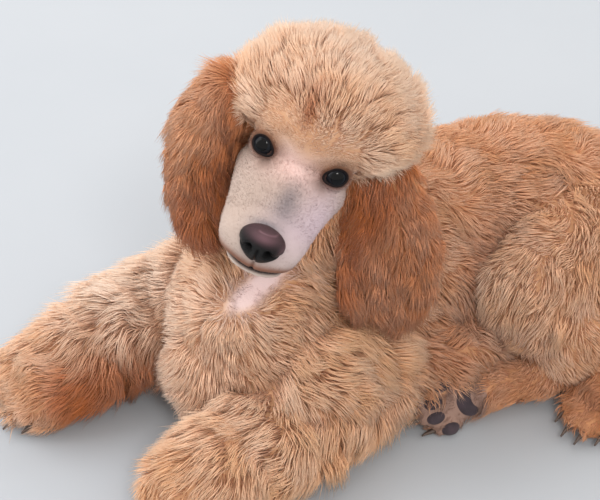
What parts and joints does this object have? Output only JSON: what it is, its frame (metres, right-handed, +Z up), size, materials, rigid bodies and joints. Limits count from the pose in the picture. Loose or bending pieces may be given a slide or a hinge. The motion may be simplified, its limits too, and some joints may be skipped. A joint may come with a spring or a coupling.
{
  "type": "standard poodle puppy, lying, life-size still model",
  "caption": "Apricot standard poodle puppy lying with its head raised and turned to its left: fluffy coat, round topknot, hanging ears, shaved face.",
  "frame": {"origin": "on the floor, under the middle of the bounding box", "axes": "+Z up, the dog's chest faces -Y and its rump +Y, +X to the dog's left"},
  "size_m": [0.419, 0.5724, 0.3334],
  "materials": {
    "coat": "soft wavy apricot fur",
    "head_coat": "pale fur, shaved on the face",
    "ear_coat": "long wavy fur, deeper orange",
    "nose_skin": "moist black, worn pinkish brown on top",
    "eye": "wet, nearly black",
    "claw": "dark horn"
  },
  "bodies": {
    "root": {"torso": "coat", "neck": "coat", "tail": "coat", "head": "head_coat", "nose": "nose_skin", "eye_left": "eye", "ear_left": "ear_coat", "foreleg_left": "coat", "forepaw_left": "coat", "thigh_left": "coat", "shank_left": "coat", "hind_paw_left": "coat", "foreclaw_left_1": "claw", "foreclaw_left_2": "claw", "foreclaw_left_3": "claw", "foreclaw_left_4": "claw", "hind_claw_left_1": "claw", "hind_claw_left_2": "claw", "hind_claw_left_3": "claw", "hind_claw_left_4": "claw", "eye_right": "eye", "ear_right": "ear_coat", "foreleg_right": "coat", "forepaw_right": "coat", "thigh_right": "coat", "shank_right": "coat", "hind_paw_right": "coat", "foreclaw_right_1": "claw", "foreclaw_right_2": "claw", "foreclaw_right_3": "claw", "foreclaw_right_4": "claw", "hind_claw_right_1": "claw", "hind_claw_right_2": "claw", "hind_claw_right_3": "claw", "hind_claw_right_4": "claw"}
  },
  "joints": []
}
